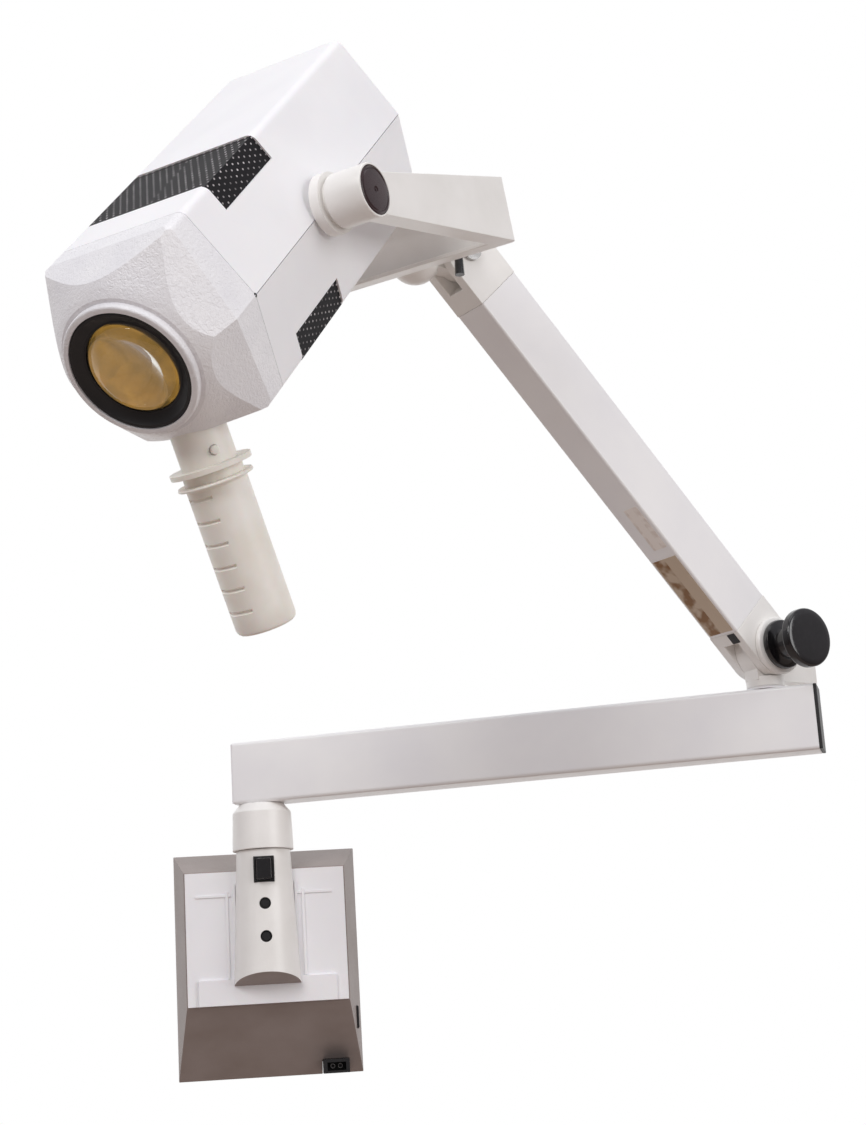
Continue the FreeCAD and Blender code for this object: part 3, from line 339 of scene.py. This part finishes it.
smallLabelPlace = boomPlace @ moved(119, 0, -22.3)
largeLabelPlace = boomPlace @ moved(36, 0, -22.3)
paleFilm = filmLabel("paleFilm", smallLabelPlace, 39, 12, "#f6efe9", "#e6dcd4", 1)
ochreFilm = filmLabel("ochreFilm", largeLabelPlace, 74, 25, "#c9b6a0", "#8a6238", 1)

# Every node of the frame gets the finish of its real surface.
finishes = {
    "wall_plate": turnedSteel, "bracket_housing": taupeEnamel, "bracket_cover": mouldedAbs,
    "socket_column": castEnamel, "switch_frame": blackAbs, "rocker_switch": blackPhenolic,
    "fuse_holders": blackAbs, "fuse_cap_upper": blackAbs, "fuse_cap_lower": blackAbs,
    "cord_inlet": blackAbs, "side_grommet": blackAbs, "transformer": varnishedIron,
    "swing_bush": sinteredBronze, "swing_spindle": turnedSteel, "swing_collar": castEnamel,
    "extension_tube": sprayedEnamel, "inner_end_cap": mouldedAbs, "outer_end_cap": blackAbs,
    "elbow_bush": mouldedAbs, "elbow_spindle": castEnamel, "elbow_post": castEnamel,
    "elbow_pin": turnedSteel, "boom_tube": sprayedEnamel, "boom_lower_end": castEnamel,
    "boom_upper_end": castEnamel, "balance_spring": springWire, "spring_rod": turnedSteel,
    "label_small": paleFilm, "label_large": ochreFilm, "knob_washer": castEnamel,
    "tension_knob": blackPhenolic, "knuckle_hub": castEnamel, "knuckle_pin": turnedSteel,
    "swivel_stud": turnedSteel, "clamp_lever": blackPhenolic, "yoke_frame": castEnamel,
    "yoke_boss": castEnamel, "swivel_bush": sinteredBronze,
    "pivot_barrel_right": castEnamel, "pivot_barrel_left": castEnamel,
    "pivot_cap_right": auberginePlastic, "pivot_cap_left": auberginePlastic,
    "pivot_shaft_right": castEnamel, "pivot_shaft_left": castEnamel,
    "head_shell_upper": mouldedAbs, "head_shell_lower": mouldedAbs,
    "upper_grille": punchedSteel, "lower_grille": punchedSteel, "front_cowl": wrinkleFinish,
    "lens_bezel": blackAbs, "lens": lensGlass, "reflector": goldReflector, "bulb": bulbGlass,
    "bulb_socket": steatite, "heat_filter": filterGlass, "lamp_carrier": turnedSteel,
    "handle_stem": ivoryNylon, "handle_button": ivoryNylon, "handle_grip": ivoryNylon,
}
for nodeName, finish in finishes.items():
    held = nodes[nodeName].data.materials
    held.clear()
    held.append(finish)
print("finishes on the frame:", len(finishes))


# Closes a mesh into a piece that moves with a body. Edges sharper than the crease stay crisp.
def piece(bm, name, finish, body, stands=(), crease=34, bevel=0.0):
    for face in bm.faces:
        face.smooth = True
    for edge in bm.edges:
        edge.smooth = not edge.is_manifold or edge.calc_face_angle() < math.radians(crease)
    mesh = bpy.data.meshes.new(name)
    bm.to_mesh(mesh)
    bm.free()
    thing = bpy.data.objects.new(name, mesh)
    scene.collection.objects.link(thing)
    mesh.materials.append(finish)
    if bevel:
        soft = thing.modifiers.new("SoftEdge", "BEVEL")
        soft.width = bevel * mm
        soft.segments = 2
        soft.limit_method = "ANGLE"
        soft.angle_limit = math.radians(crease)
        soft.harden_normals = True
    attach(thing, body)
    if stands:
        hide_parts(*stands)
    return thing


bodyOf = {member: body for body, members in frame["record"]["behaviour"]["bodies"].items()
          for member in members}


# The same shape as a node, joined up, with its machined edges broken where it has a bevel.
def softened(nodeName, bevel, crease=34):
    bm = bmesh.new()
    bm.from_mesh(nodes[nodeName].data)
    bmesh.ops.remove_doubles(bm, verts=bm.verts, dist=2e-6)
    if bevel:
        bmesh.ops.dissolve_limit(bm, angle_limit=math.radians(0.6), verts=bm.verts,
                                 edges=bm.edges)
    return piece(bm, nodeName + "_body", finishes[nodeName], bodyOf[nodeName], (nodeName,),
                 crease, bevel)


def turnedShape(outline, steps=72):
    bm = bmesh.new()
    spots = [bm.verts.new((radius * mm, 0, height * mm)) for radius, height in outline]
    edges = [bm.edges.new(pair) for pair in zip(spots, spots[1:])]
    bmesh.ops.spin(bm, geom=spots + edges, cent=(0, 0, 0), axis=(0, 0, 1),
                   angle=2 * math.pi, steps=steps, use_merge=True)
    bmesh.ops.remove_doubles(bm, verts=bm.verts, dist=1e-6)
    bmesh.ops.recalc_face_normals(bm, faces=bm.faces)
    return bm


def arc(centre, radius, first, last, steps=8):
    return [(centre[0] + radius * math.cos(math.radians(first + (last - first) * at / steps)),
             centre[1] + radius * math.sin(math.radians(first + (last - first) * at / steps)))
            for at in range(steps + 1)]


def putAt(bm, matrix):
    bmesh.ops.transform(bm, matrix=matrix, verts=bm.verts)
    return bm


# Edge breaks of the cut and folded parts, in millimetres. The moulded head has none.
edgeBreaks = {
    "bracket_housing": 0.8, "bracket_cover": 0.7, "socket_column": 0.8, "switch_frame": 0.4,
    "rocker_switch": 0.5, "cord_inlet": 0.5, "side_grommet": 0.8, "swing_collar": 0.6,
    "extension_tube": 0.4, "inner_end_cap": 0.4, "outer_end_cap": 0.5, "elbow_post": 1.2,
    "boom_tube": 0.3, "boom_lower_end": 0.9, "boom_upper_end": 0.9, "knuckle_hub": 0.8,
    "yoke_frame": 0.6, "yoke_boss": 1.0, "head_shell_upper": 0, "head_shell_lower": 0,
    "front_cowl": 0, "handle_stem": 0.5,
}
plainCrease, cowlCrease = 34, 12  # degrees; the cowl's facets meet at shallow angles
for nodeName, width in edgeBreaks.items():
    softened(nodeName, width, cowlCrease if nodeName == "front_cowl" else plainCrease)
# Painted shade: the column's faces that look down, out from the box, get the darker taupe.
shadedSoleFacts = {"steepest": -0.85, "outFrom": -60.0}  # faces that look down, out from the box
column = bpy.data.objects["socket_column_body"].data
column.materials.append(taupeEnamel)  # the downward sole is painted in the box's darker taupe as painted shade
for face in column.polygons:
    if face.normal.z < shadedSoleFacts["steepest"] and face.center.y < shadedSoleFacts["outFrom"] * mm:
        face.material_index = 1
print("softened parts:", len(edgeBreaks))


# A small rounded plate laid on the boom: a label film, or a black plate that paints the shade
# inside a small hole.
def boomPlate(name, facts, finish, stands=()):
    bm = bmesh.new()
    bmesh.ops.create_cube(bm, size=1.0)
    bmesh.ops.scale(bm, vec=Vector(facts["size"]) * mm, verts=bm.verts)
    upright = [edge for edge in bm.edges
               if abs(edge.verts[0].co.z - edge.verts[1].co.z) > 0.2 * mm]
    bmesh.ops.bevel(bm, geom=upright, offset=facts["round"] * mm, offset_type="OFFSET",
                    affect="EDGES", segments=4, profile=0.5, material=-1)
    putAt(bm, boomPlace @ moved(*facts["spot"]))
    return piece(bm, name, finish, "boom", stands, 34)



labelFacts = {"size": (39, 14, 0.3), "round": 1.0, "spot": (138.5, 4.5, -22.15)}
# Painted shade: a black plate standing for the dark inside of a small hole in the boom end.
holeShadeFacts = {"size": (9, 8, 1.6), "round": 0.6, "spot": (28.5, 7.0, -21.4)}
boomPlate("small_label_film", labelFacts, paleFilm, ("label_small",))
boomPlate("hole_shade_plate", holeShadeFacts, blackAbs)

# Clamping knob on the elbow pin: a flat round head and a skirt on one neck, over a white seat.
knobFacts = {"bore": 5.05, "seat": 5.3, "skirt": 18.9, "neck": 13.0, "reach": 36.2,
             "boreDeep": 9.0}
knobPlace = postPlace @ spun("X", -90) @ moved(0, 0, 15.2)
bore, seat, neck, reach = (knobFacts[key] for key in ("bore", "seat", "neck", "reach"))
outline = [(bore, knobFacts["boreDeep"]), (bore, seat), (knobFacts["skirt"] - 0.5, seat),
           (knobFacts["skirt"], 6.0), (knobFacts["skirt"], 8.6), (18.2, 9.8), (15.0, 10.8),
           (neck, 12.2), (neck - 0.2, 18.0), (neck, 25.6), (15.5, 27.0), (19.6, 27.6)]
outline += arc((20.3, 29.8), 2.1, -50, 5, 5) + arc((20.0, 33.6), 2.3, 0, 70, 6)
outline += [(17.0, reach - 0.2), (9.0, reach - 0.1), (0, reach), (0, knobFacts["boreDeep"]),
            (bore, knobFacts["boreDeep"])]
piece(putAt(turnedShape(outline, 96), knobPlace), "tension_knob_cap", blackPhenolic, "knob",
      ("tension_knob",), 40)
skirt = [(5.0, 0.35), (21.6, 0.35), (21.95, 0.8), (21.95, 3.2), (21.2, 4.4), (19.8, 4.95),
         (5.0, 4.95), (5.0, 0.35)]
piece(putAt(turnedShape(skirt, 96), knobPlace), "knob_seat", castEnamel, "elbow",
      ("knob_washer",), 30)

# Pivot barrels and their caps, one on each leg of the yoke.
pivotFacts = {"out": 97.0, "radius": 16.8, "cap": 15.4, "inside": 70.85}
for sideName, sign in (("right", 1), ("left", -1)):
    pivotPlace = (yokePlace @ moved(pose["yokeLeg"], 0, pose["yokeMid"])
                  @ spun("X", -90 * sign))
    inside, out, radius, cap = (pivotFacts[key] for key in ("inside", "out", "radius", "cap"))
    barrel = [(7.05, inside), (radius - 0.8, inside), (radius, inside + 0.8),
              (radius, out - 1.0), (radius - 0.3, out - 0.3), (radius - 0.6, out), (cap, out),
              (cap, out - 3), (12, out - 3), (12, out - 12), (7.05, out - 12), (7.05, inside)]
    piece(putAt(turnedShape(barrel, 96), pivotPlace), "pivot_barrel_shell_" + sideName,
          castEnamel, "yoke", ("pivot_barrel_" + sideName,), 30)
    disc = [(0, out - 3), (cap - 0.1, out - 3), (cap - 0.1, out - 0.6), (cap - 0.7, out - 0.1),
            (cap - 1.3, out + 0.3), (cap - 1.9, out - 0.1), (cap - 2.4, out - 0.1),
            (cap - 3.0, out + 0.5), (9, out + 0.75), (2.2, out + 0.8), (1.6, out + 0.1),
            (0.9, out + 0.1), (0.6, out + 0.7), (0, out + 0.8)]
    piece(putAt(turnedShape(disc, 96), pivotPlace), "pivot_disc_" + sideName,
          auberginePlastic, "yoke", ("pivot_cap_" + sideName,), 26)
print("knob and pivots done")

# Lens, bezel and faceted reflector on the optical axis.
lampPlace = headPlace @ moved(160, 0, 0) @ zToX
dome = [(0, -9), (29.6, -9), (30.2, -8.4), (30.2, -2.8), (29.6, -2.2), (28.4, -1.6)]
dome += [(28.4 * math.cos(math.radians(at)), -2.2 + 12.0 * math.sin(math.radians(at)))
         for at in range(8, 90, 6)] + [(0, 9.8)]
piece(putAt(turnedShape(dome, 96), lampPlace), "lens_dome", lensGlass, "head", ("lens",), 50)
bezel = [(28.7, -2.0), (30.4, -2.0), (30.4, -9.5), (34.7, -9.5), (34.7, -4.0), (37.65, -4.0),
         (37.65, 3.2), (37.3, 4.1), (36.4, 4.6), (35.4, 4.4), (34.6, 3.6), (33.2, 2.6),
         (31.4, 1.4), (30.0, 0.7), (29.4, 0.9), (28.9, 0.7), (28.7, 0.1), (28.7, -2.0)]
piece(putAt(turnedShape(bezel, 128), lampPlace), "bezel_ring", blackAbs, "head",
      ("lens_bezel",), 28)
bowl = [(30, -12), (30, -14), (27, -24), (19, -38), (9, -50), (9, -54), (7.6, -54), (7.6, -49),
        (12.6, -44.2), (17.4, -37), (21.4, -30), (25.4, -23), (27.2, -17), (28, -12), (30, -12)]
piece(putAt(turnedShape(bowl, 30), lampPlace), "reflector_bowl", goldReflector, "head",
      ("reflector",), 3)
print("optics done")

# Grip that slides on the stem: a drum with six finger grooves between two smooth panels.
gripFacts = {"start": 23.3, "end": 122.0, "radius": 18.65, "bore": 9.1, "boreDeep": 72.0,
             "rings": 6, "first": 37.3, "pitch": 14.0, "groove": 1.5,
             "panel": 108.0, "panelHalf": 52.0, "panelLow": 34.0, "panelHigh": 116.0}
start, end, wide = (gripFacts[key] for key in ("start", "end", "radius"))
ribbed = [(gripFacts["bore"], start), (17.9, start), (18.25, 24.0), (18.25, 29.0)]
ribbed += [(22.6, 29.0)] + arc((22.2, 30.2), 0.9, -70, 70, 5) + [(19.4, 31.5), (18.65, 32.6)]
for ring in range(gripFacts["rings"]):
    low = gripFacts["first"] + ring * gripFacts["pitch"]
    ribbed += [(wide, low - 1.3), (wide - 0.7, low - 0.9), (wide - gripFacts["groove"], low),
               (wide - 0.7, low + 0.9), (wide, low + 1.3)]
ribbed += [(18.6, end - 3.2), (18.0, end - 1.2), (16.7, end), (0, end),
           (0, gripFacts["boreDeep"]), (gripFacts["bore"], gripFacts["boreDeep"]),
           (gripFacts["bore"], start)]
grip = turnedShape(ribbed, 120)
for vert in grip.verts:  # the panels bridge the grooves on two opposite sides
    away, height = vert.co.xy.length, vert.co.z / mm
    aside = (math.degrees(math.atan2(vert.co.y, vert.co.x)) - gripFacts["panel"] + 90) % 180 - 90
    onPanel = gripFacts["panelLow"] < height < gripFacts["panelHigh"] and away > 15 * mm
    if onPanel and abs(aside) < gripFacts["panelHalf"]:
        vert.co.xy *= wide * mm / away
piece(putAt(grip, handlePlace), "grip_drum", ivoryNylon, "handle", ("handle_grip",), 30)
button = [(0, 0), (2.8, 0), (2.8, 3.0)] + arc((2.0, 3.2), 0.8, 0, 80, 4) + [(0, 4.2)]
latchPlace = handlePlace @ spun("Z", -54) @ moved(-15, 0, 12) @ spun("Y", -90)
piece(putAt(turnedShape(button, 40), latchPlace), "latch_button", ivoryNylon, "latch",
      ("handle_button",), 40)
print("handle done")

# Two bright contact pins in the inlet, and the screw at each side of the cowl's seam.
for number, across in enumerate((49.5, 55.5)):
    pin = [(0, 0), (1.3, 0), (1.75, 0.5), (1.75, 9.5), (0, 9.5)]
    piece(putAt(turnedShape(pin, 24), moved(across, -12, -85) @ spun("X", 90)),
          "inlet_pin_%d" % number,
          turnedSteel, "bracket", (), 40)
for sideName, sign in (("right", 1), ("left", -1)):
    screw = [(0, -3), (1.5, -3), (1.5, -0.3), (1.1, 0.1), (0.4, 0.1), (0.3, -0.3), (0, -0.3)]
    piece(putAt(turnedShape(screw, 24), headPlace @ moved(108.6, 60.9 * sign, 0)
                @ spun("X", -90 * sign)), "seam_screw_" + sideName, blackAbs, "head", (), 40)
print("small fittings done")

# Perforated vent panels, bent round the top and the bottom of the head. The path is the
# panel's outer face across the head, in millimetres.
ventFacts = {"rear": 10.6, "front": 77.6, "skin": 1.5, "half": 46.0, "flatAbove": 50.0,
             "path": ((-49.1, 41.8), (-44.65, 58.8), (44.65, 58.8), (49.1, 41.8))}
for sideName, sign in (("upper", 1), ("lower", -1)):
    bm = bmesh.new()
    rows = []
    for reach in (ventFacts["rear"], ventFacts["front"]):
        narrower = 1 - ventFacts["skin"] / ventFacts["half"]
        inside = [(across * narrower,
                   up - (ventFacts["skin"] if up > ventFacts["flatAbove"] else 0))
                  for across, up in reversed(ventFacts["path"])]
        rows.append([bm.verts.new(Vector((reach, across, up * sign)) * mm)
                     for across, up in list(ventFacts["path"]) + inside])
    for at in range(8):
        bm.faces.new((rows[0][at], rows[0][(at + 1) % 8], rows[1][(at + 1) % 8], rows[1][at]))
    for row in rows:
        for low, high in ((0, 7), (1, 6), (2, 5)):
            bm.faces.new((row[low], row[low + 1], row[high - 1], row[high]))
    bmesh.ops.recalc_face_normals(bm, faces=bm.faces)
    piece(putAt(bm, headPlace), "vent_panel_" + sideName, punchedSteel, "head",
          (sideName + "_grille",), 30)

# Dark band just inside the seam between the head shells and the cowl: painted shade for the gap.
seamShadeFacts = {"rear": 107.9, "front": 109.6, "outer": 0.995, "inner": 0.97,
               "corners": ((-44.6, 58.7), (44.6, 58.7), (60.0, 0),
                           (44.6, -58.7), (-44.6, -58.7), (-60.0, 0))}
bm = bmesh.new()
loops = []
for side, edge in (("rear", "outer"), ("front", "outer"), ("front", "inner"), ("rear", "inner")):
    loops.append([bm.verts.new(Vector((seamShadeFacts[side], across * seamShadeFacts[edge],
                                       up * seamShadeFacts[edge])) * mm)
                  for across, up in seamShadeFacts["corners"]])
for first, second in zip(loops, loops[1:] + loops[:1]):
    for at in range(6):
        bm.faces.new((first[at], first[(at + 1) % 6], second[(at + 1) % 6], second[at]))
bmesh.ops.recalc_face_normals(bm, faces=bm.faces)
# The black band paints the shade in the seam's gap.
piece(putAt(bm, headPlace), "seam_shade_band", blackAbs, "head", (), 30)
print("vents and seam done")

# Floor, light and camera.
floorMesh = bmesh.new()
bmesh.ops.create_grid(floorMesh, x_segments=1, y_segments=1, size=4.0)
putAt(floorMesh, moved(0, -600, -1250))
floorData = bpy.data.meshes.new("studio_floor")
floorMesh.to_mesh(floorData)
floorMesh.free()
floor = bpy.data.objects.new("studio_floor", floorData)
scene.collection.objects.link(floor)
floorData.materials.append(finishedSurface("paleFloor", {
    "pale": "#b3a59c", "deep": "#aa9b92", "drift": 600, "grain": 12, "bite": 0.05, "depth": 0.2,
    "shine": (0.6, 0.75)}))

world = bpy.data.worlds.new("StudioAir")
world.use_nodes = True
scene.world = world
world.node_tree.nodes.clear()
view = add(world.node_tree, "ShaderNodeTexCoord")
way = add(world.node_tree, "ShaderNodeSeparateXYZ", links={"Vector": view.outputs["Generated"]})
rise = add(world.node_tree, "ShaderNodeMapRange", {},
           {"From Min": -0.35, "From Max": 0.5}, {"Value": way.outputs["Z"]})
room = add(world.node_tree, "ShaderNodeMix", {"data_type": "RGBA"},
           {6: linear("#5c4f48"), 7: linear("#bab9be")}, {0: rise.outputs["Result"]})
backdrop = add(world.node_tree, "ShaderNodeMapRange", {},
               {"From Min": 0.2, "From Max": 0.6}, {"Value": way.outputs["Y"]})
air = add(world.node_tree, "ShaderNodeMix", {"data_type": "RGBA"},
          {7: (1.0, 1.0, 1.0, 1.0)},
          {0: backdrop.outputs["Result"], 6: room.outputs[2]})
glow = add(world.node_tree, "ShaderNodeBackground", {}, {"Strength": 1.0},
           {"Color": air.outputs[2]})
add(world.node_tree, "ShaderNodeOutputWorld", links={"Surface": glow.outputs[0]})

lamps = {
    "KeyBox": {"spot": (-1.1, -2.3, 1.7), "aim": (0.1, -0.35, 0.25), "size": 1.0, "power": 25},
    "FillBox": {"spot": (1.8, -1.9, 0.7), "aim": (0.1, -0.35, 0.2), "size": 1.3, "power": 19},
    "TopBox": {"spot": (0.2, -0.9, 2.2), "aim": (0.1, -0.35, 0.2), "size": 1.3, "power": 6},
}
for lampName, facts in lamps.items():
    data = bpy.data.lights.new(lampName, "AREA")
    data.energy, data.size = facts["power"], facts["size"]
    lamp = bpy.data.objects.new(lampName, data)
    scene.collection.objects.link(lamp)
    lamp.location = facts["spot"]
    aim = Vector(facts["aim"]) - Vector(facts["spot"])
    lamp.rotation_euler = aim.to_track_quat("-Z", "Y").to_euler()

# Camera: low in front of the lamp, looking up; angles in radians.
cameraFacts = {"spot": (0.0004, -1.6176, -0.0670), "yaw": 0.0969, "pitch": 0.2432,
               "roll": -0.061, "lens": 61.07}
yaw, pitch, roll = (cameraFacts[key] for key in ("yaw", "pitch", "roll"))
ahead = Vector((math.sin(yaw) * math.cos(pitch), math.cos(yaw) * math.cos(pitch),
                math.sin(pitch)))
level = Vector((math.cos(yaw), -math.sin(yaw), 0))
above = level.cross(ahead)
right = level * math.cos(roll) + above * math.sin(roll)
upright = above * math.cos(roll) - level * math.sin(roll)
eye = Matrix((right, upright, -ahead)).transposed().to_4x4()
eye.translation = Vector(cameraFacts["spot"])
cameraData = bpy.data.cameras.new("StudioCamera")
cameraData.lens, cameraData.sensor_width = cameraFacts["lens"], 36.0
camera = bpy.data.objects.new("StudioCamera", cameraData)
camera.matrix_world = eye
scene.collection.objects.link(camera)
scene.camera = camera
scene.view_settings.view_transform = "Standard"
print("stage ready")
